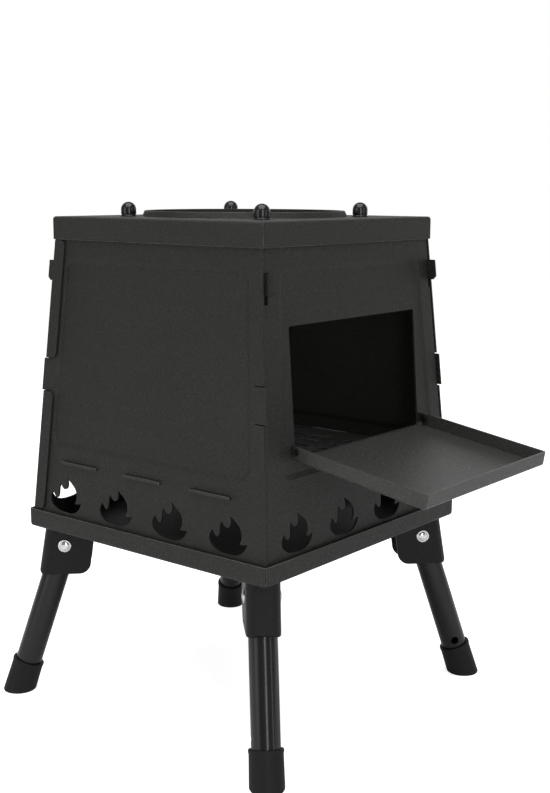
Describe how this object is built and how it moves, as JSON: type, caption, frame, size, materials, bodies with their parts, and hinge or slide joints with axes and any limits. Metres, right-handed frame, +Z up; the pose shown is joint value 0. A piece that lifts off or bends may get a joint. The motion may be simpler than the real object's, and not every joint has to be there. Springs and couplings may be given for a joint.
{
  "type": "folding camping wood stove",
  "caption": "Tapered sheet-steel wood stove with swinging tube legs, a drop-down fuel door, a slotted grate and a lift-off top plate with a raised pot hole.",
  "frame": {"origin": "centre of the pot hole, level with the top plate's upper face; the floor is 0.406 m below it", "axes": "+Z up, the fuel door faces -Y, the left panel faces -X"},
  "size_m": [0.3054, 0.3895, 0.4178],
  "materials": {
    "body_coat": "matte textured heat-proof coat",
    "bare_steel": "plain rolled sheet",
    "rivet_steel": "bright plated",
    "stud_gloss": "gloss black",
    "leg_gloss": "satin-gloss black",
    "foot_rubber": "moulded"
  },
  "bodies": {
    "stove_body": {"base_tray": "body_coat", "left_panel": "body_coat", "right_panel": "body_coat", "front_panel": "body_coat", "rear_panel": "body_coat", "fire_grate": "bare_steel", "door_hinge_pins": "bare_steel", "bracket_rivets": "rivet_steel", "leg_bracket_front_left": "body_coat", "leg_bracket_front_right": "body_coat", "leg_bracket_rear_right": "body_coat", "leg_bracket_rear_left": "body_coat", "leg_rivet_front_left": "rivet_steel", "leg_rivet_front_right": "rivet_steel", "leg_rivet_rear_right": "rivet_steel", "leg_rivet_rear_left": "rivet_steel"},
    "door": {"door_tray": "body_coat"},
    "top": {"top_plate": "body_coat", "pot_studs": "stud_gloss", "stud_screws": "rivet_steel"},
    "leg_front_left": {"leg_tube_front_left": "leg_gloss", "foot_cap_front_left": "foot_rubber"},
    "leg_front_right": {"leg_tube_front_right": "leg_gloss", "foot_cap_front_right": "foot_rubber"},
    "leg_rear_right": {"leg_tube_rear_right": "leg_gloss", "foot_cap_rear_right": "foot_rubber"},
    "leg_rear_left": {"leg_tube_rear_left": "leg_gloss", "foot_cap_rear_left": "foot_rubber"}
  },
  "joints": [
    {"name": "door_hinge", "type": "hinge", "parent": "stove_body", "child": "door", "pos_m": [0, -0.12485, -0.1672], "axis": [-1, 0, 0], "range_deg": [0, 103]},
    {"name": "top_lift", "type": "slide", "parent": "stove_body", "child": "top", "axis": [0, 0, 1], "range_m": [0, 0.06]},
    {"name": "leg_fold_front_left", "type": "hinge", "parent": "stove_body", "child": "leg_front_left", "pos_m": [-0.10889, -0.10889, -0.275], "axis": [0.7071, -0.7071, 0], "range_deg": [0, 108]},
    {"name": "leg_fold_front_right", "type": "hinge", "parent": "stove_body", "child": "leg_front_right", "pos_m": [0.10889, -0.10889, -0.275], "axis": [0.7071, 0.7071, 0], "range_deg": [0, 108]},
    {"name": "leg_fold_rear_right", "type": "hinge", "parent": "stove_body", "child": "leg_rear_right", "pos_m": [0.10889, 0.10889, -0.275], "axis": [-0.7071, 0.7071, 0], "range_deg": [0, 108]},
    {"name": "leg_fold_rear_left", "type": "hinge", "parent": "stove_body", "child": "leg_rear_left", "pos_m": [-0.10889, 0.10889, -0.275], "axis": [-0.7071, -0.7071, 0], "range_deg": [0, 108]}
  ]
}
